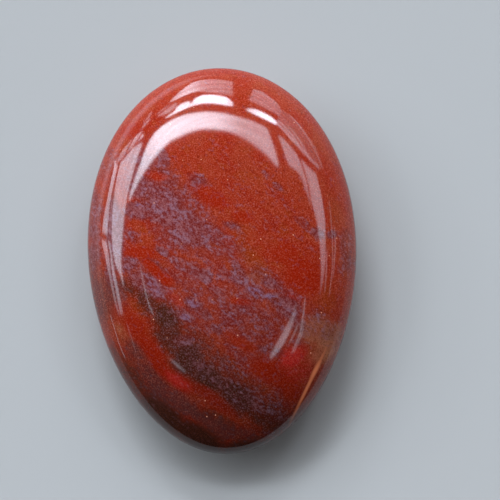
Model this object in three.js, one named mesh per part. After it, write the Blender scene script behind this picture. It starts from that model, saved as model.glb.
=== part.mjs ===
// Sardonyx palm stone: one oval pebble of banded red chalcedony, ground to shape by hand and
// polished all over. It lies on a small flat spot ground under its belly.
//
// Millimetres, +Z up. +Y runs along the stone, towards its broad end. The origin is on the plane
// that the stone rests on, below the middle of its bounding box.

import * as THREE from "three";

// Overall size of the finished stone
const LENGTH = 60;
const WIDTH = 41.5;
const THICKNESS = 15.2;

// The outline seen from above is an ellipse, drawn out wider towards +Y and narrower towards -Y.
const TAPER = 0.07;

// The girdle is the widest line round the stone. It runs a little lower at the narrow end.
const GIRDLE_HEIGHT = 7.9;
const GIRDLE_DIP = 0.35;

// Fullness of the two domes: 2 is a plain ellipsoid, and more is flatter in the middle with a
// tighter turn at the shoulder.
const CROWN_FULLNESS = 2.2;
const BELLY_FULLNESS = 2.3;

// The highest point of the crown lies off the middle, as the hand leaves it.
const CROWN_LEAN_X = 0.5;
const CROWN_LEAN_Y = 0.9;

// Size of the flat spot as a share of the outline
const FLAT_SPOT_SHARE = 0.24;

// Facets round the stone, and rings up each dome
const SEGMENTS = 96;
const CROWN_RINGS = 18;
const BELLY_RINGS = 15;

const POLISHED_SARDONYX = new THREE.MeshStandardMaterial({
  color: new THREE.Color(0.36, 0.07, 0.045),
  roughness: 0.12,
  metalness: 0,
});

// One quarter of the stone's section, from the middle of a dome (turn 0) to the girdle (turn 1), as
// the share of the outline that it has reached and the share of the dome's height that is left.
function domePoint(turn, fullness) {
  const angle = (turn * Math.PI) / 2;
  return new THREE.Vector2(Math.sin(angle) ** (2 / fullness), Math.cos(angle));
}

// The whole section, from the middle of the flat spot (height -1) past the girdle (0) to the top
// of the crown (1). The belly's curve starts at the rim of the flat spot.
function sectionPoints() {
  const points = [new THREE.Vector2(0, -1), new THREE.Vector2(FLAT_SPOT_SHARE, -1)];
  for (let ring = 1; ring <= BELLY_RINGS; ring++) {
    const belly = domePoint(ring / BELLY_RINGS, BELLY_FULLNESS);
    const reach = FLAT_SPOT_SHARE + (1 - FLAT_SPOT_SHARE) * belly.x;
    points.push(new THREE.Vector2(reach, ring === BELLY_RINGS ? 0 : -belly.y));
  }
  for (let ring = CROWN_RINGS - 1; ring > 0; ring--) {
    points.push(domePoint(ring / CROWN_RINGS, CROWN_FULLNESS));
  }
  points.push(new THREE.Vector2(0, 1));
  return points;
}

// Takes a point of the round unit section to its place on the stone.
function placeOnStone(across, along, height) {
  const girdle = GIRDLE_HEIGHT + GIRDLE_DIP * along;
  const lean = Math.max(height, 0) ** 2;
  return new THREE.Vector3(
    (WIDTH / 2) * across * (1 + TAPER * along) + CROWN_LEAN_X * lean,
    (LENGTH / 2) * along + CROWN_LEAN_Y * lean,
    height > 0 ? girdle + (THICKNESS - girdle) * height : girdle * (1 + height),
  );
}

function stoneGeometry() {
  const geometry = new THREE.LatheGeometry(sectionPoints(), SEGMENTS);
  const position = geometry.getAttribute("position");
  // The lathe turns the section about Y, so its height is in Y and its far side is in Z.
  for (let i = 0; i < position.count; i++) {
    const place = placeOnStone(position.getX(i), -position.getZ(i), position.getY(i));
    position.setXYZ(i, place.x, place.y, place.z);
  }
  geometry.computeBoundingBox();
  const middle = geometry.boundingBox.getCenter(new THREE.Vector3());
  geometry.translate(-middle.x, -middle.y, -geometry.boundingBox.min.z);
  geometry.computeVertexNormals();
  return geometry;
}

function makeStone() {
  const stone = new THREE.Mesh(stoneGeometry(), POLISHED_SARDONYX);
  stone.name = "stone";
  return stone;
}

const palmStone = new THREE.Group();
palmStone.add(makeStone());

export default palmStone;
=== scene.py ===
"""Sardonyx palm stone: one polished pebble of banded red chalcedony, seen from above."""

import math

import bpy
import numpy as np
from mathutils import Matrix, Vector


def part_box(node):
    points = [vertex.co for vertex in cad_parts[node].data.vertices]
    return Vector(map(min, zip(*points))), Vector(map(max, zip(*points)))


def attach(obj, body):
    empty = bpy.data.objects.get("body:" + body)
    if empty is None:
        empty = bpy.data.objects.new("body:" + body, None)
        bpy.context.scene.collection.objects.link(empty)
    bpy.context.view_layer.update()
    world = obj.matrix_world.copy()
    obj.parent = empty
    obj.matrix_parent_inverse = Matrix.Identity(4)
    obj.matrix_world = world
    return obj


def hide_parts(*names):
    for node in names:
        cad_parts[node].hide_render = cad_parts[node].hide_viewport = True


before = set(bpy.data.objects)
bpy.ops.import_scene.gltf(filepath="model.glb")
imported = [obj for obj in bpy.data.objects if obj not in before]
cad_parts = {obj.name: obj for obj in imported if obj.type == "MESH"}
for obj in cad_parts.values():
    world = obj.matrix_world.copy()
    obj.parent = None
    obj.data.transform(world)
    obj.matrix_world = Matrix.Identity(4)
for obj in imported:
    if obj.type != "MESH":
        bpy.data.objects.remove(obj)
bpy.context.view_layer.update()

# The stone's surface: one pebble, ground by hand on a wheel to a tapered oval and polished all
# over. A shallow crown and a belly meet at a rounded girdle, and a small flat spot is ground
# under the belly. The hand leaves faint hollows that only the reflections show.
MM = 0.001
stone_low, stone_high = (np.array(corner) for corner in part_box("stone"))
WIDTH, LENGTH, THICKNESS = stone_high - stone_low
TAPER = 0.07
GIRDLE_HEIGHT = 0.52 * THICKNESS
GIRDLE_DIP = 0.35 * MM
CROWN_FULLNESS = 2.2
BELLY_FULLNESS = 2.3
CROWN_LEAN = (0.5 * MM, 0.9 * MM)
FLAT_SPOT_SHARE = 0.24
POINTS_ROUND = 360
SPOT_RINGS, BELLY_RINGS, CROWN_RINGS = 6, 96, 148
HOLLOW_DEPTH = 0.010 * MM
HOLLOW_WIDTHS = (6 * MM, 13 * MM)
HOLLOW_WAVES = 9
HOLLOW_SEED = 7


def hollows(points):
    """How far the surface stands off the even form: a sum of plane waves several millimetres
    long with seeded directions, fading to nothing towards the flat spot."""
    seeded = np.random.default_rng(HOLLOW_SEED)
    rise = np.zeros(points.shape[:-1])
    for _ in range(HOLLOW_WAVES):
        heading = seeded.normal(size=3)
        heading /= np.linalg.norm(heading)
        wavelength = seeded.uniform(*HOLLOW_WIDTHS)
        start = seeded.uniform(0, 2 * math.pi)
        rise += np.sin(points @ heading * 2 * math.pi / wavelength + start)
    fade = np.clip(points[..., 2] / (2 * MM) - 0.2, 0, 1)
    return HOLLOW_DEPTH * rise * fade / math.sqrt(HOLLOW_WAVES)


def stone_point(turn, climb):
    """Place on the stone for a turn round its height and a climb from the middle of the flat spot
    (0) past its rim (1) and the girdle (2) to the top of the crown (3).

    On each dome the reach from the middle is sin(a) ** (2 / fullness) while the height is cos(a),
    a superellipse. The reach turns into an ellipse that widens along +Y, and the top of the crown
    leans off the middle by the square of the height."""
    belly = np.clip(climb - 1, 0, 1) * math.pi / 2
    crown = np.clip(3 - climb, 0, 1) * math.pi / 2
    spot_reach = FLAT_SPOT_SHARE * np.clip(climb, 0, 1)
    belly_reach = spot_reach + (1 - FLAT_SPOT_SHARE) * np.sin(belly) ** (2 / BELLY_FULLNESS)
    reach = np.where(climb < 2, belly_reach, np.sin(crown) ** (2 / CROWN_FULLNESS))
    height = np.where(climb < 2, -np.cos(belly), np.cos(crown))
    across = reach * np.cos(turn)
    along = reach * np.sin(turn)
    girdle = GIRDLE_HEIGHT + GIRDLE_DIP * along
    lean = np.clip(height, 0, 1) ** 2
    x = WIDTH / 2 * across * (1 + TAPER * along) + CROWN_LEAN[0] * lean
    y = LENGTH / 2 * along + CROWN_LEAN[1] * lean
    z = np.where(height > 0, girdle + (THICKNESS - girdle) * height, girdle * (1 + height))
    return np.stack([x, y, z], axis=-1)


def closed_surface(name, point, climbs, points_round):
    """A closed mesh of a surface of two parameters: a pole, rings of points, and a pole. Between
    two rings lie four-sided faces, and round each pole three-sided ones, all facing outwards."""
    turns = np.arange(points_round) * 2 * math.pi / points_round
    rings = point(turns[None, :], climbs[1:-1, None]).reshape(-1, 3)
    poles = point(np.zeros(2), climbs[[0, -1]])
    points = np.concatenate([poles[:1], rings, poles[1:]])
    points += np.array([0, 0, 1]) * hollows(points)[:, None]
    around = np.arange(points_round)
    beside = (around + 1) % points_round
    ring_starts = 1 + np.arange(len(climbs) - 3)[:, None] * points_round
    quads = np.stack(
        [
            ring_starts + around,
            ring_starts + beside,
            ring_starts + points_round + beside,
            ring_starts + points_round + around,
        ],
        axis=-1,
    ).reshape(-1, 4)
    last = len(points) - 1
    low_fan = np.stack([np.zeros_like(around), 1 + beside, 1 + around], axis=-1)
    top_ring = last - points_round
    high_fan = np.stack([np.full_like(around, last), top_ring + around, top_ring + beside], axis=-1)
    mesh = bpy.data.meshes.new(name)
    faces = quads.tolist() + low_fan.tolist() + high_fan.tolist()
    mesh.from_pydata(points.tolist(), [], faces)
    mesh.shade_smooth()
    piece = bpy.data.objects.new(name, mesh)
    bpy.context.scene.collection.objects.link(piece)
    return piece


climbs = np.concatenate(
    [
        np.linspace(0, 1, SPOT_RINGS, endpoint=False),
        np.linspace(1, 2, BELLY_RINGS, endpoint=False),
        np.linspace(2, 3, CROWN_RINGS),
    ]
)
stone = closed_surface("polished_stone", stone_point, climbs, POINTS_ROUND)


# The stone's substance: fine-grained quartz, stained brick red by iron oxide right through. Clouds
# of lilac chalcedony grains and bands of brown and clear red cross it from upper left to lower
# right. Places and sizes of the markings are in millimetres on the stone, seen from above.
def tone(red, green, blue):
    """A colour given as it shows on a screen, 0 to 255, as the shader's linear colour."""
    shares = [channel / 255 for channel in (red, green, blue)]
    linear = [s / 12.92 if s <= 0.04045 else ((s + 0.055) / 1.055) ** 2.4 for s in shares]
    return (*linear, 1)


def joined(tree, kind, inputs=None, **settings):
    """Adds a node of that kind, and sets each of its inputs to a value or joins it to a socket."""
    made = tree.nodes.new(kind)
    for name, value in settings.items():
        setattr(made, name, value)
    for name, value in (inputs or {}).items():
        if isinstance(value, bpy.types.NodeSocket):
            tree.links.new(value, made.inputs[name])
        else:
            made.inputs[name].default_value = value
    return made


def sums(tree, operation, first, second=0.0, third=0.0, clamped=False):
    """One step of arithmetic on up to three numbers or sockets, held between 0 and 1 if clamped."""
    inputs = {0: first, 1: second, 2: third}
    made = joined(tree, "ShaderNodeMath", inputs, operation=operation, use_clamp=clamped)
    return made.outputs[0]


def between(tree, value, low, high, to_low=0.0, to_high=1.0):
    """Takes value smoothly from to_low, at low and under it, to to_high, at high and over it."""
    inputs = {"Value": value, "From Min": low, "From Max": high, "To Min": to_low, "To Max": to_high}
    made = joined(tree, "ShaderNodeMapRange", inputs, interpolation_type="SMOOTHSTEP")
    return made.outputs["Result"]


def grain(tree, place, size, detail, shift):
    """Cloudy noise with lumps of about that size in millimetres, from 0 to 1 about a half. Another
    shift gives another pattern."""
    inputs = {"Vector": place, "W": shift, "Scale": 1 / size, "Detail": detail}
    made = joined(tree, "ShaderNodeTexNoise", inputs, noise_dimensions="4D")
    return made.outputs["Fac"]


def tinted(tree, mask, below, above):
    """Lays the colour above over the colour below, as far as the mask says."""
    made = joined(tree, "ShaderNodeMix", data_type="RGBA")
    for index, value in ((0, mask), (6, below), (7, above)):
        if isinstance(value, bpy.types.NodeSocket):
            tree.links.new(value, made.inputs[index])
        else:
            made.inputs[index].default_value = value
    return made.outputs[2]


# Millimetres that the picture shifts for each one below the girdle, and how far the bands sway
SLANT = (0.8, -0.5)
SWAY_WAVES = 7
SWAY_WIDTHS = (5, 11)
CROWN_SWAY = 0.35
BELLY_SWAY = 0.30
SWAY_SEED = 11


def drawn_places(points):
    """Where the markings' picture is read for each point, in millimetres across and along.

    On the crown that is the point seen from above, swayed by less than a millimetre. Below the
    girdle the bands run on down at a slant, and sway more."""
    across_along = points[:, :2] / MM
    depth = np.clip(GIRDLE_HEIGHT - points[:, 2], 0, None)[:, None] / MM
    seeded = np.random.default_rng(SWAY_SEED)
    sway = np.zeros_like(across_along)
    for _ in range(SWAY_WAVES):
        heading = seeded.normal(size=3)
        heading /= np.linalg.norm(heading)
        phase = points @ heading / MM * 2 * math.pi / seeded.uniform(*SWAY_WIDTHS)
        sway += np.sin(phase[:, None] + seeded.uniform(0, 2 * math.pi, 2))
    sway /= math.sqrt(SWAY_WAVES)
    return across_along + np.array(SLANT) * depth + sway * (CROWN_SWAY + BELLY_SWAY * depth)


def write_share(mesh, name, shares):
    """Keeps a number for each point of the mesh as an attribute, for the material to read."""
    mesh.attributes.new(name, "FLOAT", "POINT").data.foreach_set("value", shares)


def mark(mesh, name, places, edge, spots):
    """Writes the share of one marking at each point of the mesh as an attribute: the strongest of
    its spots, each a turned ellipse that is 1 inside and falls smoothly to 0 over its edge. A spot
    is (across, along, half length, half width, turn in degrees, strength)."""
    strongest = np.zeros(len(places))
    for across, along, half_length, half_width, turn, strength in spots:
        turn = math.radians(turn)
        away = places - (across, along)
        lengthwise = away @ (math.cos(turn), math.sin(turn)) / half_length
        sidewise = away @ (-math.sin(turn), math.cos(turn)) / half_width
        inside = np.clip((1 + edge - np.hypot(lengthwise, sidewise)) / (2 * edge), 0, 1)
        strongest = np.maximum(strongest, strength * inside**2 * (3 - 2 * inside))
    write_share(mesh, name, strongest)


# Lilac clouds, the brown band with the clear red one under it, and the other patches
# Lilac clouds; the narrow strips at the left rim also paint, as lilac, the pale reflection that the rim
# shows.
LILAC_CLOUDS_AND_RIM_REFLECTION = (
    (-9.0, 10.5, 8.0, 4.0, -55, 0.58),
    (-5.5, 5.0, 8.5, 4.4, -45, 0.56),
    (0.5, -2.0, 9.0, 4.4, -48, 0.38),
    (-9.5, -3.5, 8.0, 2.2, -42, 0.50),
    (-3.0, -7.5, 9.0, 4.6, -42, 0.50),
    (6.0, -7.0, 9.0, 4.6, -35, 0.52),
    (3.5, -13.0, 8.0, 4.0, -35, 0.44),
    (0.0, -18.0, 9.0, 2.8, -42, 0.42),
    (6.0, -21.5, 7.0, 3.6, -40, 0.38),
    (13.5, -11.0, 4.5, 2.6, -35, 0.42),
    (6.5, 8.5, 8.0, 5.5, -30, 0.16),
    (-8.6, 15.3, 1.8, 1.1, -50, 0.75),
    (-8.0, 12.4, 2.6, 1.6, -40, 0.7),
    (-11.2, 10.5, 2.8, 1.8, -35, 0.8),
    (-12.8, 8.2, 1.8, 0.5, -6, 0.95),
    (-13.2, 7.0, 2.4, 1.3, -10, 0.8),
    (-8.5, 8.0, 4.5, 3.2, -40, 0.85),
    (-5.0, 4.5, 4.6, 2.9, -45, 0.8),
    (-2.6, 10.2, 3.0, 1.8, -50, 0.5),
    (-13.4, 3.6, 1.6, 0.9, -30, 0.45),
    (-8.6, 1.0, 1.4, 0.8, -30, 0.8),
    (-0.5, 0.6, 3.0, 2.2, -40, 0.5),
    (-14.6, -0.6, 1.5, 1.2, -40, 0.85),
    (-11.0, -0.9, 1.8, 0.8, -30, 0.6),
    (-5.5, -1.2, 3.2, 1.2, -30, 0.6),
    (-13.2, -3.0, 2.2, 1.3, -45, 0.7),
    (-10.5, -4.2, 2.8, 1.5, -40, 0.9),
    (-2.8, -2.8, 1.4, 1.0, -30, 0.85),
    (-4.2, -7.2, 1.7, 1.0, -45, 0.93),
    (-5.9, -9.0, 1.4, 0.9, -20, 0.93),
    (-2.8, -9.0, 1.2, 0.9, -60, 0.8),
    (-1.4, -10.9, 1.3, 0.8, -30, 0.85),
    (-0.5, -6.5, 2.8, 2.0, -30, 0.6),
    (2.6, -3.0, 2.4, 1.3, -50, 0.8),
    (5.3, -5.4, 2.2, 1.2, -30, 0.95),
    (7.3, -4.3, 1.6, 0.9, -40, 0.85),
    (7.4, -6.4, 1.5, 0.6, -5, 0.95),
    (9.4, -8.0, 3.0, 1.6, -30, 0.75),
    (4.5, -10.6, 4.0, 2.2, -20, 0.6),
    (1.8, -8.5, 2.0, 1.4, -20, 0.65),
    (11.0, -10.4, 2.0, 1.4, -40, 0.7),
    (13.6, -11.6, 2.6, 1.5, -30, 0.5),
    (-6.0, -12.7, 1.6, 0.9, -10, 0.8),
    (-4.2, -16.2, 1.6, 0.9, -30, 0.5),
    (-1.6, -18.8, 1.4, 0.9, -30, 0.5),
    (1.4, -18.6, 1.3, 0.9, -30, 0.6),
    (0.4, -16.8, 1.4, 0.9, -50, 0.65),
    (5.6, -14.2, 1.2, 0.7, -30, 0.7),
    (4.0, -22.4, 2.6, 1.2, -40, 0.75),
    (7.5, -22.0, 2.2, 1.4, -40, 0.4),
    (1.5, -22.2, 1.6, 1.0, -45, 0.6),
    (6.0, -27.0, 0.9, 0.6, 0, 0.7),
    (12.8, 4.6, 1.6, 0.9, -35, 0.45),
    (14.8, 3.2, 1.2, 1.0, -35, 0.8),
    (6.8, 12.3, 1.1, 0.6, -35, 0.5),
    (8.8, 10.4, 1.2, 0.6, -35, 0.55),
    (1.6, 4.5, 1.6, 0.6, -10, 0.6),
    (-19.4, 7.0, 1.6, 5.0, 0, 0.6),
    (-16.3, 4.0, 1.2, 8.0, 0, 0.8),
    (-19.6, 1.5, 1.4, 2.6, 0, 0.6),
    (-17.3, 16.0, 1.6, 2.6, -20, 0.5),
    (18.8, 0.0, 1.4, 3.6, 0, 0.55),
    (16.8, 2.8, 0.9, 0.7, 0, 0.7),
)
BROWN_BAND = (
    (-14.2, -4.4, 2.6, 1.4, -40, 0.75),
    (-11.8, -6.4, 3.4, 1.7, -42, 0.85),
    (-8.8, -8.8, 3.2, 2.1, -50, 1.0),
    (-8.2, -11.9, 3.2, 2.0, -60, 0.9),
    (-5.6, -15.3, 3.4, 2.6, -50, 1.0),
    (-2.6, -18.5, 4.0, 2.7, -42, 1.0),
    (1.4, -21.3, 4.4, 2.7, -38, 1.0),
    (5.8, -24.1, 4.2, 2.8, -30, 0.85),
    (10.2, -25.9, 4.2, 2.2, 10, 0.6),
    (-4.4, -13.4, 3.6, 1.9, -45, 0.6),
    (-0.2, -17.4, 4.0, 2.0, -42, 0.6),
    (3.4, -20.4, 3.6, 1.8, -40, 0.55),
)
CLEAR_RED = (
    (-15.6, -8.6, 2.4, 1.1, -50, 0.5),
    (-13.2, -10.8, 3.4, 1.5, -55, 0.85),
    (-11.4, -13.8, 3.2, 1.3, -52, 1.0),
    (-9.8, -16.1, 3.2, 1.1, -48, 1.0),
    (-7.1, -18.4, 3.2, 1.0, -45, 0.9),
    (-3.7, -20.8, 3.2, 0.8, -40, 0.6),
    (-0.6, -23.2, 2.6, 0.7, -38, 0.5),
    (-12.6, 0.9, 2.8, 1.1, -10, 0.9),
    (-11.0, -1.8, 2.6, 0.8, -42, 0.95),
    (-8.6, -3.3, 1.6, 0.7, -20, 0.95),
    (-1.2, 8.9, 3.0, 1.4, -30, 0.9),
    (3.2, 5.9, 1.4, 1.0, -20, 0.8),
    (-10.2, 12.9, 2.2, 0.7, -12, 0.75),
    (12.6, -3.6, 3.4, 3.0, -30, 1.0),
    (10.2, -0.6, 3.0, 1.6, -40, 0.85),
    (16.6, -8.6, 1.4, 3.2, 0, 0.35),
    (7.2, -17.8, 3.8, 2.0, -35, 1.0),
    (9.6, -20.6, 2.4, 1.2, -40, 0.8),
    (3.0, -13.4, 3.4, 1.0, -35, 0.6),
    (2.4, -7.2, 1.8, 0.7, -10, 0.7),
    (-13.0, 20.6, 1.8, 1.0, -10, 0.8),
    (17.5, 11.0, 1.2, 4.5, 20, 0.6),
)
CRIMSON = (
    (10.4, -15.6, 1.9, 1.3, 30, 1.0),
    (11.6, -17.6, 2.4, 1.8, 40, 0.45),
    (-7.4, -18.3, 2.0, 0.7, -45, 0.8),
    (-6.6, -6.2, 1.6, 0.7, -50, 0.25),
    (10.6, -6.8, 1.0, 0.5, -20, 0.3),
)
ORANGE = (
    (4.6, -0.4, 2.8, 1.3, -50, 0.85),
    (3.2, 3.4, 1.8, 1.4, -45, 0.45),
    (5.8, -2.6, 1.5, 0.7, -30, 0.9),
    (-16.8, -9.2, 1.4, 3.2, 25, 0.5),
    (-13.6, -7.4, 1.8, 0.8, -40, 0.6),
    (5.0, -15.0, 2.0, 0.6, -40, 0.65),
    (15.6, -6.8, 1.6, 1.6, 0, 0.6),
    (15.8, -7.2, 1.3, 2.6, 0, 0.9),
    (17.3, 6.5, 1.0, 3.6, 0, 0.5),
)
TAN = (
    (15.1, -14.4, 2.6, 1.8, 60, 1.0),
    (5.0, -3.4, 1.6, 0.6, -30, 0.35),
    (-15.6, -10.8, 1.6, 0.9, -55, 0.35),
    (14.0, -12.0, 2.8, 2.0, -30, 0.9),
    (16.6, -12.6, 1.2, 1.4, 0, 0.7),
)
# Smoky brown patches along the band low on the stone; the first three spots, on the left rim, are
# painted shade.
SMOKY_AND_RIM_SHADE = (
    (-19.3, -5.0, 1.7, 4.4, 8, 0.9),
    (-19.8, -1.2, 1.3, 3.0, 4, 0.7),
    (-17.4, -4.6, 1.9, 3.8, 10, 0.85),
    (-13.6, -14.2, 2.2, 1.4, -50, 0.75),
    (-10.6, -18.6, 4.0, 1.7, -50, 0.85),
    (-7.0, -21.6, 3.4, 1.3, -45, 0.85),
    (-5.6, -22.8, 3.6, 0.9, -42, 0.9),
    (-1.6, -25.8, 3.6, 1.1, -30, 0.8),
    (2.6, -27.2, 3.0, 0.9, -15, 0.6),
)
DEEP_BROWN = (
    (-14.0, -19.5, 5.0, 1.8, -62, 0.75),
    (-10.0, -23.6, 5.4, 2.6, -50, 1.0),
    (-4.8, -27.4, 5.4, 2.2, -28, 1.0),
    (2.5, -29.3, 5.5, 1.6, 4, 0.9),
    (-1.5, -24.8, 4.0, 0.9, -32, 0.6),
    (-16.6, -15.4, 3.6, 1.0, -64, 0.6),
)
# A thin pale orange line low on the right, placed as seen from above, without sway.
PALE_LINE = (
    (12.5, -19.9, 5.0, 0.22, 62, 0.9),
    (13.6, -17.8, 1.8, 0.30, 61, 1.0),
)

# How soft the edge of each marking is, as a share of its spots' size, and the spots. Noise tears
# the edges of the markings in the list. The clouds are torn by their own grains instead.
CLOUD_EDGE = 0.55
PALE_LINE_EDGE = 0.60
MARKINGS = {
    "clear": (0.45, CLEAR_RED),
    "brown": (0.60, BROWN_BAND),
    "orange": (0.60, ORANGE),
    "tan": (0.50, TAN),
    "deep_brown": (0.50, DEEP_BROWN),
    "smoky_and_rim_shade": (0.60, SMOKY_AND_RIM_SHADE),
    "crimson": (0.60, CRIMSON),
}

# How bright the stone's colour is for places along it, from the narrow end to the broad one. It is
# # partly the stone's own deeper red towards the narrow end and partly painted shade there, with painted
# light at the broad end, which faces the soft boxes.
SHADE_AND_DEPTH_ALONG = (
    (-30, 0.50), (-24, 0.54), (-18, 0.63), (-12, 0.79),
    (-6, 0.94), (0, 1.0), (14, 1.04), (26, 1.2),
)

# The crown, where the painted glints of the polishing pits show, starts and is whole at these shares of
# the thickness.
CROWN_FROM, CROWN_WHOLE = 0.7, 0.8

points = np.empty(len(stone.data.vertices) * 3)
stone.data.vertices.foreach_get("co", points)
points = points.reshape(-1, 3)
places = drawn_places(points)
for name, (edge, spots) in MARKINGS.items():
    mark(stone.data, name, places, edge, spots)
mark(stone.data, "lilac", places, CLOUD_EDGE, LILAC_CLOUDS_AND_RIM_REFLECTION)
mark(stone.data, "pale_line", points[:, :2] / MM, PALE_LINE_EDGE, PALE_LINE)
# The depth attribute holds painted shade towards the narrow end and painted light at the broad end,
# besides the stone's own deepening.
write_share(stone.data, "depth", np.interp(places[:, 1], *zip(*SHADE_AND_DEPTH_ALONG)))
on_crown = (points[:, 2] / THICKNESS - CROWN_FROM) / (CROWN_WHOLE - CROWN_FROM)
write_share(stone.data, "crown", np.clip(on_crown, 0, 1))

BRICK_RED = tone(146, 46, 24)
FULL_RED = tone(144, 27, 5)
PALE_GRAIN = tone(192, 102, 82)
GREY_GRAIN = tone(166, 106, 108)
DARK_GRAIN = tone(90, 10, 6)
LILAC = tone(138, 101, 114)
PERIWINKLE = tone(138, 110, 136)
PINK_LILAC = tone(140, 84, 86)
CLOUD_SHADE = tone(94, 36, 38)
BROWN = tone(68, 33, 20)
ORANGE_TONE = tone(140, 50, 14)
CRIMSON_TONE = tone(184, 40, 32)
TAN_TONE = tone(178, 108, 74)
SMOKY_AND_RIM_SHADE_TONE = tone(92, 46, 42)
PALE_LINE_TONE = tone(204, 112, 72)
DEEP_BROWN_TONE = tone(70, 32, 20)
PAINTED_GLINT_TONE = tone(226, 150, 120)

# Sizes in millimetres: quartz grains, flecks, clumps of grains, patches of clumps, turns of tint
GRAIN_SIZE = 0.36
FLECK_SIZE = 0.20
CLUMP_SIZE = 0.48
PATCH_SIZE = 2.2
TINT_SIZE = 1.2

# Direction of the bands, how far the clumps are drawn out along them, and how ragged edges are
BAND_TURN = -40
STREAK = (1.6, 1.0, 1.0)
RAGGEDNESS = 5.0

# Size of the painted glints of polishing pits and how far apart they lie, in millimetres
PIT_GLINT_WIDTH = 0.26
PIT_GLINT_SPACING = 3.0

# How much of the colour under them the haze and each kind of grain cover at most
HAZE_COVER = 0.74
LILAC_COVER = 0.74
PALE_COVER = 0.48
DARK_COVER = 0.66

# The gloss of a fine polish, and how strongly quartz bends light
POLISH_ROUGHNESS = 0.06
QUARTZ_IOR = 1.54


def attribute(tree, name):
    """A number that the mesh keeps for each of its points."""
    return joined(tree, "ShaderNodeAttribute", attribute_name=name).outputs["Fac"]


def stone_noises(tree, place):
    """Noise at the sizes of the stone's grains. Clumps, patches and tints run along the bands."""
    turning = {0: place, "Rotation": (0, 0, math.radians(BAND_TURN)), "Scale": STREAK}
    along_bands = joined(tree, "ShaderNodeMapping", turning, vector_type="TEXTURE").outputs[0]
    return {
        "fine": grain(tree, place, GRAIN_SIZE, 1.0, 1.0),
        "fleck": grain(tree, place, FLECK_SIZE, 1.0, 4.0),
        "clump": grain(tree, along_bands, CLUMP_SIZE, 2.0, 2.0),
        "patchy": grain(tree, along_bands, PATCH_SIZE, 3.0, 3.0),
        "tint": grain(tree, along_bands, TINT_SIZE, 1.0, 7.0),
    }


def torn_shares(tree, clump):
    """Each marking's share from the mesh with its edge torn: the share, s, plus noise that is
    weighed by s times (1 - s), so that it acts at the edge alone."""
    tear = sums(tree, "MULTIPLY", sums(tree, "SUBTRACT", clump, 0.5), RAGGEDNESS)
    shares = {}
    for name in MARKINGS:
        soft = attribute(tree, name)
        rim = sums(tree, "MULTIPLY", soft, sums(tree, "SUBTRACT", 1.0, soft))
        torn = sums(tree, "MULTIPLY_ADD", rim, tear, soft)
        shares[name] = sums(tree, "MAXIMUM", torn, 0.0)
    return shares


def body_colour(tree, noise, share):
    """Brick red that is purer in patches and more orange in others, under the plain markings."""
    patchy, tint = noise["patchy"], noise["tint"]
    body = tinted(tree, between(tree, patchy, 0.35, 0.65, 0.0, 0.7), BRICK_RED, FULL_RED)
    body = tinted(tree, between(tree, tint, 0.50, 0.72, 0.0, 0.45), body, ORANGE_TONE)
    body = tinted(tree, share["orange"], body, ORANGE_TONE)
    tan = sums(tree, "MULTIPLY", share["tan"], between(tree, patchy, 0.35, 0.60, 0.5, 1.0))
    body = tinted(tree, tan, body, TAN_TONE)
    body = tinted(tree, share["brown"], body, BROWN)
    body = tinted(tree, share["deep_brown"], body, DEEP_BROWN_TONE)
    # Smoky brown, and painted shade on the left rim
    body = tinted(tree, share["smoky_and_rim_shade"], body, SMOKY_AND_RIM_SHADE_TONE)
    body = tinted(tree, share["clear"], body, FULL_RED)
    return tinted(tree, share["crimson"], body, CRIMSON_TONE)


def cloud_shares(tree, noise, share):
    """How thick the lilac clouds are: their share where no clear marking bars them, and the same
    share swelled and thinned by the patches."""
    bare = sums(tree, "MULTIPLY", share["clear"], 0.85)
    bare = sums(tree, "MAXIMUM", bare, sums(tree, "MULTIPLY", share["deep_brown"], 0.7))
    bare = sums(tree, "MAXIMUM", bare, share["crimson"], clamped=True)
    clouds = sums(tree, "MULTIPLY", attribute(tree, "lilac"), sums(tree, "SUBTRACT", 1.0, bare))
    swell = sums(tree, "MULTIPLY_ADD", sums(tree, "SUBTRACT", noise["patchy"], 0.5), 1.1, clouds)
    return clouds, swell


def lilac_grains(tree, body, noise, clouds, swell):
    """Fine lilac grains, close together in the clouds and thinning out to a few elsewhere."""
    speckle = sums(tree, "SUBTRACT", noise["fine"], 0.5)
    speckle = sums(tree, "MULTIPLY_ADD", speckle, 0.30, noise["clump"])
    speckle = sums(tree, "MULTIPLY_ADD", swell, 0.21, speckle)
    speckle = sums(tree, "ADD", speckle, between(tree, clouds, 0.85, 1.0, 0.0, 0.02))
    speckle = between(tree, speckle, 0.54, 0.86, 0.0, LILAC_COVER)
    speckle = sums(tree, "MULTIPLY", speckle, between(tree, swell, 0.0, 0.5, 0.48, 1.0))
    lilac = tinted(tree, between(tree, noise["tint"], 0.40, 0.66), PINK_LILAC, LILAC)
    lilac = tinted(tree, between(tree, clouds, 0.84, 0.98), lilac, PERIWINKLE)
    return tinted(tree, speckle, body, lilac)


def even_grains(tree, body, fleck, share, haze):
    """Fine even grains, pale and dark, all through the stone and fewer in its darkest part."""
    quiet = sums(tree, "MULTIPLY", share["clear"], 0.35)
    quiet = sums(tree, "MAXIMUM", quiet, sums(tree, "MULTIPLY", share["deep_brown"], 0.75))
    lively = sums(tree, "SUBTRACT", 1.0, quiet)
    pale = sums(tree, "MULTIPLY", between(tree, fleck, 0.48, 0.78, 0.0, PALE_COVER), lively)
    greyer = sums(tree, "MAXIMUM", share["brown"], haze)
    body = tinted(tree, pale, body, tinted(tree, greyer, PALE_GRAIN, GREY_GRAIN))
    dim = sums(tree, "MULTIPLY", between(tree, fleck, 0.52, 0.24, 0.0, DARK_COVER), lively)
    return tinted(tree, dim, body, DARK_GRAIN)


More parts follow.
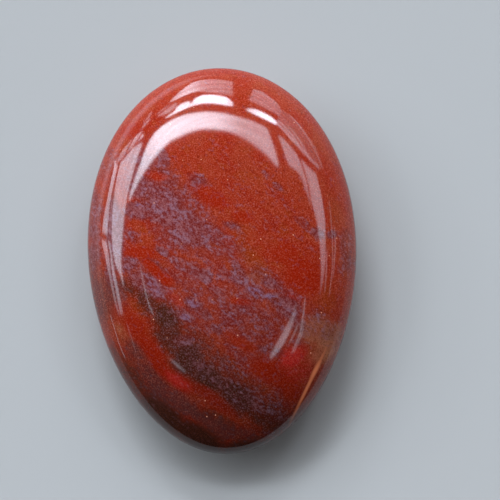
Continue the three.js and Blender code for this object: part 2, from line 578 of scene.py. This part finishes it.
def painted_pit_glints(tree, body, place):
    """Painted glints of tiny pits left by the polishing: pale dots in the colour that stand for light
    caught here and there on the crown, at the middles of some cells of a pattern of cells."""
    cells = {"Vector": place, "Scale": 1 / PIT_GLINT_SPACING, "Randomness": 1.0}
    pits = joined(tree, "ShaderNodeTexVoronoi", cells, voronoi_dimensions="2D")
    chosen = between(tree, pits.outputs["Color"], 0.64, 0.84)
    inside = between(tree, pits.outputs["Distance"], 0.5 * PIT_GLINT_WIDTH / PIT_GLINT_SPACING, 0.0, 0.0, 1.6)
    shown = sums(tree, "MULTIPLY", inside, chosen)
    painted_glint = sums(tree, "MULTIPLY", shown, attribute(tree, "crown"), clamped=True)
    return tinted(tree, painted_glint, body, PAINTED_GLINT_TONE)


def sardonyx():
    """The stone's material: a polished surface over colours that go right through."""
    material = bpy.data.materials.new("sardonyx")
    material.use_nodes = True
    tree = material.node_tree
    tree.nodes.clear()
    raw = tree.nodes.new("ShaderNodeTexCoord").outputs["Object"]
    scaling = {0: raw, "Scale": 1 / MM}
    place = joined(tree, "ShaderNodeVectorMath", scaling, operation="SCALE").outputs[0]
    noise = stone_noises(tree, place)
    share = torn_shares(tree, noise["clump"])
    body = body_colour(tree, noise, share)

    # A wine red haze fills the clouds, and is thinner over the brown band
    clouds, swell = cloud_shares(tree, noise, share)
    haze = between(tree, swell, 0.10, 0.80, 0.0, HAZE_COVER)
    haze = sums(tree, "MULTIPLY", haze, sums(tree, "MULTIPLY_ADD", share["brown"], -0.6, 1.0))
    body = tinted(tree, haze, body, CLOUD_SHADE)
    body = lilac_grains(tree, body, noise, clouds, swell)
    body = even_grains(tree, body, noise["fleck"], share, haze)

    # The whole stone deepens towards its narrow end, partly in its own colour and partly as painted
    # shade, and is palest at its broad one, where light is painted
    shading_and_deepening = {0: body, "Scale": attribute(tree, "depth")}
    body = joined(tree, "ShaderNodeVectorMath", shading_and_deepening, operation="SCALE").outputs[0]
    body = tinted(tree, attribute(tree, "pale_line"), body, PALE_LINE_TONE)
    body = painted_pit_glints(tree, body, place)
    polished = {"Base Color": body, "Roughness": POLISH_ROUGHNESS, "IOR": QUARTZ_IOR}
    surface = joined(tree, "ShaderNodeBsdfPrincipled", polished)
    joined(tree, "ShaderNodeOutputMaterial", {"Surface": surface.outputs["BSDF"]})
    return material


stone.data.materials.append(sardonyx())
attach(stone, "root")
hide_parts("stone")


# The camera looks almost straight down, as a hand holds it over a table. The stone's broad end
# leans a little to the left in its picture, and the stone lies left of the picture's middle and a
# little below it.
PICTURE_WIDTH = 77.6 * MM
CAMERA_DISTANCE = 320 * MM
CAMERA_ELEVATION = math.radians(85)
STONE_TURN = math.radians(2.1)
VIEW_CENTRE = Vector((4.32 * MM, 1.36 * MM, GIRDLE_HEIGHT))
SENSOR = 36.0

picture_up = Vector((math.sin(STONE_TURN), math.cos(STONE_TURN), 0))
to_camera = -picture_up * math.cos(CAMERA_ELEVATION) + Vector((0, 0, math.sin(CAMERA_ELEVATION)))
camera_right = picture_up.cross(Vector((0, 0, 1)))
camera_up = to_camera.cross(camera_right)
turned = Matrix((camera_right, camera_up, to_camera)).transposed().to_4x4()
lens = bpy.data.cameras.new("camera")
lens.sensor_width = SENSOR
lens.lens = SENSOR * CAMERA_DISTANCE / PICTURE_WIDTH
lens.clip_start = 10 * MM
camera = bpy.data.objects.new("camera", lens)
camera.matrix_world = Matrix.Translation(VIEW_CENTRE + to_camera * CAMERA_DISTANCE) @ turned
bpy.context.scene.collection.objects.link(camera)
bpy.context.scene.camera = camera


# The table: a wide, plain, pale sheet of matt card, flat under the stone.
FLOOR_HALF = 3.0
CARD_TONE = tone(172, 170, 166)
CARD_ROUGHNESS = 0.9

floor_mesh = bpy.data.meshes.new("floor")
floor_signs = ((-1, -1), (1, -1), (1, 1), (-1, 1))
floor_corners = [(FLOOR_HALF * across, FLOOR_HALF * along, 0) for across, along in floor_signs]
floor_mesh.from_pydata(floor_corners, [], [(0, 1, 2, 3)])
floor = bpy.data.objects.new("floor", floor_mesh)
bpy.context.scene.collection.objects.link(floor)
card = bpy.data.materials.new("pale_card")
card.use_nodes = True
card_surface = card.node_tree.nodes["Principled BSDF"]
card_surface.inputs["Base Color"].default_value = CARD_TONE
card_surface.inputs["Roughness"].default_value = CARD_ROUGHNESS
floor.data.materials.append(card)


# The light: a dim studio with large soft boxes hung round the far half of it, which show in the
# polish as one pale arc inside the stone's shoulder and a few strips outside that. They are drawn
# on the world by bearing, in degrees from +Y towards +X, and by elevation in degrees.
BOX_COLOUR = (0.89, 1.00, 1.15, 1)
WALL_COLOUR = (1.12, 0.94, 0.82, 1)
WALL_GLOW_LOW, WALL_GLOW_HIGH = 0.34, 0.02
WALL_TOP = 42

studio = bpy.data.worlds.new("studio")
studio.use_nodes = True
tree = studio.node_tree
tree.nodes.clear()
way = tree.nodes.new("ShaderNodeTexCoord").outputs["Generated"]
parts = joined(tree, "ShaderNodeSeparateXYZ", {0: way})
bearing = sums(tree, "DEGREES", sums(tree, "ARCTAN2", parts.outputs["X"], parts.outputs["Y"]))
elevation = sums(tree, "DEGREES", sums(tree, "ARCSINE", parts.outputs["Z"]))

# The cloth of the boxes hangs in folds, seen as fine, faint streaks that run along the boxes. Some
# boxes also have wider and darker streaks, the dips.
slow = sums(tree, "MULTIPLY", bearing, 0.03)
along_boxes = joined(tree, "ShaderNodeCombineXYZ", {"X": slow, "Y": elevation}).outputs[0]
fine_noise = {"Vector": along_boxes, "Scale": 0.9, "Detail": 2.0}
fine_streaks = joined(tree, "ShaderNodeTexNoise", fine_noise)
folds = between(tree, fine_streaks.outputs["Fac"], 0.3, 0.7, 0.80, 1.12)
wide_noise = {"Vector": along_boxes, "Scale": 0.45, "Detail": 1.0}
wide_streaks = joined(tree, "ShaderNodeTexNoise", wide_noise)
dips = between(tree, wide_streaks.outputs["Fac"], 0.44, 0.58)

# A curve node holds numbers from 0 to 1, so elevations and glows are handed on in hundredths.
HUNDREDTH = 0.01
height = sums(tree, "MULTIPLY", elevation, HUNDREDTH)


def along_rows(rows, edge):
    """A box's lower edge, upper edge and glow for the bearing, in hundredths. They run in straight
    lines from row to row, and the glow fades to nothing over the edge at both ends."""
    first, last = rows[0][0] - edge, rows[-1][0] + edge
    span = {"Value": bearing, "From Min": first, "From Max": last}
    share = joined(tree, "ShaderNodeMapRange", span, clamp=True).outputs["Result"]
    made = joined(tree, "ShaderNodeRGBCurve", {"Color": share})
    for column, line in zip((1, 2, 3), made.mapping.curves):
        kept = 0 if column == 3 else HUNDREDTH
        line.points[0].location = (0, rows[0][column] * kept)
        line.points[1].location = (1, rows[-1][column] * kept)
        for row in rows:
            line.points.new((row[0] - first) / (last - first), row[column] * HUNDREDTH)
        for point in line.points:
            point.handle_type = "VECTOR"
    made.mapping.update()
    return joined(tree, "ShaderNodeSeparateColor", {0: made.outputs[0]}).outputs


def box_light(so_far, rows, edge, streaks):
    """Adds a soft box to the light so far, in hundredths. Each row is a bearing, the elevations of
    the box's lower and upper edges there and its glow. Streaks dim parts of it."""
    low, high, glow = along_rows(rows, edge)
    if streaks:
        glow = sums(tree, "MULTIPLY", glow, sums(tree, "MULTIPLY_ADD", dips, -streaks, 1.0))
    steepness = 0.5 / (edge * HUNDREDTH)
    over_low = sums(tree, "SUBTRACT", height, low)
    over_low = sums(tree, "MULTIPLY_ADD", over_low, steepness, 0.5, clamped=True)
    under_high = sums(tree, "SUBTRACT", high, height)
    under_high = sums(tree, "MULTIPLY_ADD", under_high, steepness, 0.5, clamped=True)
    return sums(tree, "MULTIPLY_ADD", sums(tree, "MULTIPLY", over_low, under_high), glow, so_far)


# The arc is three boxes in a row: left, middle and right, where the last one is split in two.
ARC_LEFT = (
    (-93.5, 43.6, 44.3, 5.0), (-91, 42.5, 44.4, 5.4), (-88, 38.7, 44.5, 6.0), (-85, 36.9, 44.9, 6.2),
    (-80, 35.5, 45.6, 6.4), (-75, 34.2, 46.1, 6.2), (-70, 33.0, 46.0, 6.2), (-63, 29.6, 45.3, 6.8),
    (-59, 28.0, 44.9, 7.6), (-56, 31.5, 44.5, 8.0), (-51, 36.3, 43.3, 8.0), (-48, 40.0, 42.3, 7.0),
)
ARC_MAIN = (
    (-67.5, 47.2, 48.6, 8.0), (-62, 47.6, 50.1, 9.0), (-57, 47.8, 51.3, 10.0), (-51, 47.4, 52.5, 12.0),
    (-46, 45.9, 53.4, 14.0), (-40, 45.3, 54.2, 18.0), (-35, 45.5, 54.9, 18.0), (-27, 47.1, 56.9, 18.0),
    (-20, 48.8, 57.8, 17.0), (-13, 50.5, 58.7, 16.0), (-4, 52.1, 60.1, 14.5), (6, 53.0, 60.9, 10.0),
    (14, 53.0, 61.4, 6.8), (26, 52.2, 61.6, 6.0), (30, 51.9, 61.4, 6.0), (34, 54.6, 61.1, 6.0),
    (38, 57.0, 61.0, 5.8), (42, 59.3, 60.8, 5.5),
)
ARC_RIGHT = (
    (38, 50.2, 51.2, 4.0), (40, 49.6, 52.2, 4.4), (45.5, 48.6, 54.8, 4.4), (49, 47.5, 55.0, 4.4),
    (53, 47.5, 52.7, 4.0), (57, 48.4, 51.8, 3.4), (62, 49.6, 52.3, 3.0), (69, 51.2, 51.9, 2.0),
)
ARC_RIGHT_LOW = (
    (53, 45.8, 46.6, 3.4), (57, 43.4, 47.4, 3.8), (60, 40.6, 48.2, 3.8), (62, 38.4, 48.6, 3.8),
    (65, 39.4, 49.2, 3.8), (69, 40.1, 50.1, 3.8), (77, 41.0, 48.7, 3.4), (84, 42.7, 48.2, 2.6),
    (90, 42.9, 47.4, 2.4), (95, 43.7, 46.0, 2.0), (98, 44.6, 45.4, 1.0),
)

# Outside the arc on the left: a strip with a line over it, a pair of strips, and faint panes
LEFT_STRIP = (
    (-80, 19.6, 29.3, 5.4), (-76, 21.4, 29.8, 5.4), (-72, 22.8, 29.0, 5.2), (-68, 22.8, 28.2, 6.6),
    (-63, 20.8, 26.9, 7.4), (-60.5, 18.8, 25.8, 7.4),
)
LEFT_LINE = ((-79.5, 32.0, 33.4, 3.6), (-74, 31.3, 32.5, 3.0), (-66, 30.5, 31.3, 2.0))
LEFT_PAIR_LOW = (
    (-101, 30.1, 31.8, 2.0), (-98.5, 29.6, 32.0, 2.4), (-95, 29.0, 32.2, 2.6), (-91, 27.6, 31.4, 3.0),
    (-86, 23.9, 31.0, 4.2), (-82.5, 18.9, 28.2, 5.4),
)
LEFT_PAIR_HIGH = (
    (-101, 33.2, 36.8, 2.4), (-98.5, 33.8, 38.0, 3.2), (-95, 34.4, 38.0, 4.4), (-90, 33.4, 36.7, 5.0),
    (-85, 33.0, 35.4, 4.8), (-82, 30.0, 33.4, 4.2),
)
FAR_LEFT_PANE = (
    (-60.5, 16.0, 21.0, 4.0), (-58, 20.0, 27.5, 4.0), (-51, 28.0, 35.2, 6.0), (-45.5, 33.4, 39.0, 12.0),
)
FAR_LEFT_SCRAP = ((-43.5, 30.1, 33.1, 4.0), (-40, 27.0, 34.0, 4.0), (-36.5, 25.0, 28.0, 4.0))
FAR_LEFT_HAZE = ((-34, 33.0, 37.0, 4.5), (-29, 33.0, 40.8, 4.5), (-24, 34.8, 39.2, 4.5))

# Outside the arc at the broad end: three panes in a row, each with a brighter strip over it
LEFT_PANE = (
    (-26.5, 30.5, 31.5, 6.0), (-24, 28.2, 32.8, 8.5), (-18, 23.1, 33.5, 12.0), (-13, 17.8, 33.8, 11.0),
    (-9, 16.6, 35.6, 6.4), (-6, 17.6, 37.2, 5.2), (2, 20.0, 39.6, 4.4), (8, 21.6, 40.2, 3.4),
)
LEFT_BRIGHT = (
    (-31, 41.9, 42.9, 16.0), (-25.5, 42.1, 43.9, 22.0), (-24, 40.0, 44.2, 20.0),
    (-21, 39.4, 44.7, 20.0), (-17, 40.4, 45.0, 20.0), (-16, 43.2, 45.1, 18.0),
    (-15, 42.1, 45.1, 18.0), (-13, 39.9, 45.3, 22.0), (-9, 39.1, 45.6, 26.0),
    (-2, 40.6, 46.9, 26.0), (5, 42.2, 47.7, 20.0), (8, 44.7, 47.5, 14.0),
)
RIGHT_PANE = (
    (17.8, 37.5, 39.9, 3.6), (19, 25.0, 39.8, 3.8), (23, 22.6, 40.2, 3.8), (28, 24.7, 40.0, 3.8),
    (32, 26.2, 39.0, 3.6), (34, 30.0, 38.0, 3.4),
)
RIGHT_BRIGHT = (
    (17, 46.5, 47.7, 13.0), (21, 44.4, 47.9, 20.0), (26, 44.0, 47.8, 26.0), (31, 43.6, 47.1, 26.0),
    (34, 44.2, 46.4, 18.0),
)
FAR_RIGHT_PANE = (
    (34.5, 30.0, 43.6, 4.0), (41, 26.4, 44.0, 4.0), (46, 25.4, 43.6, 3.8), (51, 25.6, 41.0, 3.2),
    (57, 24.2, 37.0, 2.2), (62, 26.0, 32.4, 1.6),
)
FAR_RIGHT_LINE = (
    (33, 43.8, 45.8, 5.0), (40, 44.0, 45.9, 4.4), (45, 43.7, 45.6, 4.4), (51, 40.8, 43.0, 3.8),
    (57, 36.4, 38.9, 3.0), (61, 31.4, 33.8, 2.6),
)

# Thin strips on the right, and short ones on the near side
RIGHT_THIN = (
    ((86, 41.2, 42.0, 2.0), (89, 40.9, 42.1, 2.0), (94, 40.5, 41.7, 2.0), (97.5, 39.8, 40.9, 1.6)),
    ((73, 31.8, 32.9, 1.2), (78, 33.1, 34.4, 1.6), (84, 33.6, 34.8, 1.8), (98, 33.5, 34.6, 1.5)),
    ((80, 29.6, 31.0, 1.6), (85, 29.4, 31.0, 1.9), (89, 30.6, 32.2, 1.9), (94, 31.2, 32.6, 1.4)),
)
NEAR_RIGHT = (
    (104, 61.9, 62.6, 1.2), (107, 61.5, 63.1, 1.6), (110, 61.2, 63.5, 2.2), (116, 61.3, 64.5, 3.2),
    (121, 61.5, 65.2, 3.2), (126, 62.8, 65.7, 3.0), (134, 64.4, 65.9, 2.4),
)
NEAR_RIGHT_THIN = (
    ((100, 56.6, 57.5, 2.2), (106, 56.0, 57.1, 2.6), (114, 54.2, 55.3, 2.6), (122, 54.0, 55.0, 2.0)),
    ((111.5, 58.0, 58.8, 2.0), (116, 57.9, 58.9, 2.4), (120, 58.5, 59.4, 2.0)),
    ((109, 54.4, 55.1, 1.6), (114, 52.7, 53.6, 2.0), (121, 53.0, 53.8, 2.0)),
)
NEAR_LEFT_THIN = (
    ((-112, 12.0, 13.4, 3.0), (-109, 11.8, 13.2, 3.0), (-106, 13.5, 15.1, 3.0), (-101, 14.2, 15.8, 3.0)),
    ((-113, 35.4, 36.4, 1.2), (-109, 36.9, 38.1, 1.2), (-104.5, 37.3, 38.4, 1.2)),
    ((-135.5, 62.0, 62.8, 2.0), (-129.5, 60.0, 61.4, 2.8), (-124.5, 58.4, 59.2, 2.0)),
)
HAIR_LINE = (
    (-104, 59.8, 60.2, 5.0), (-100, 59.0, 59.4, 6.4), (-95, 58.4, 58.85, 6.4), (-90, 58.05, 58.5, 5.4),
    (-87, 57.4, 57.7, 3.0),
)
FAR_LEFT_GLOW = ((-105, 3.0, 8.0, 0.3), (-60, 3.0, 16.0, 1.5), (-25, 3.0, 16.0, 1.5), (5, 3.0, 8.0, 0.3))

BOXES = (
    (ARC_LEFT, 0.7, 0.0),
    (ARC_MAIN, 0.7, 0.0),
    (ARC_RIGHT, 0.6, 0.0),
    (ARC_RIGHT_LOW, 0.6, 0.0),
    (LEFT_STRIP, 0.6, 0.0),
    (LEFT_LINE, 0.4, 0.0),
    (LEFT_PAIR_LOW, 0.5, 0.0),
    (LEFT_PAIR_HIGH, 0.5, 0.0),
    (FAR_LEFT_PANE, 0.7, 0.85),
    (FAR_LEFT_SCRAP, 0.7, 0.85),
    (FAR_LEFT_HAZE, 0.7, 0.8),
    (LEFT_PANE, 0.7, 0.35),
    (LEFT_BRIGHT, 0.6, 0.0),
    (RIGHT_PANE, 0.7, 0.35),
    (RIGHT_BRIGHT, 0.6, 0.0),
    (FAR_RIGHT_PANE, 0.9, 0.75),
    (FAR_RIGHT_LINE, 0.5, 0.0),
    *((rows, 0.4, 0.0) for rows in RIGHT_THIN),
    (NEAR_RIGHT, 0.4, 0.0),
    *((rows, 0.3, 0.0) for rows in NEAR_RIGHT_THIN),
    *((rows, 0.4, 0.0) for rows in NEAR_LEFT_THIN),
    (HAIR_LINE, 0.25, 0.0),
    (FAR_LEFT_GLOW, 4.0, 0.0),
)
glow = 0.0
for rows, edge, streaks in BOXES:
    glow = box_light(glow, rows, edge, streaks)
glow = sums(tree, "MULTIPLY", sums(tree, "DIVIDE", glow, HUNDREDTH), folds)

# Dim walls and ceiling, a little paler low on the far side
wall = between(tree, elevation, 0, WALL_TOP, WALL_GLOW_LOW, WALL_GLOW_HIGH)
wall = sums(tree, "MULTIPLY", wall, between(tree, parts.outputs["Y"], -0.9, 0.9, 0.1, 1.9))
colour = tinted(tree, between(tree, glow, 0.0, 1.0), WALL_COLOUR, BOX_COLOUR)
strength = sums(tree, "ADD", glow, wall)
background = joined(tree, "ShaderNodeBackground", {"Color": colour, "Strength": strength})
joined(tree, "ShaderNodeOutputWorld", {"Surface": background.outputs[0]})
bpy.context.scene.world = studio
bpy.context.scene.view_settings.view_transform = "Standard"
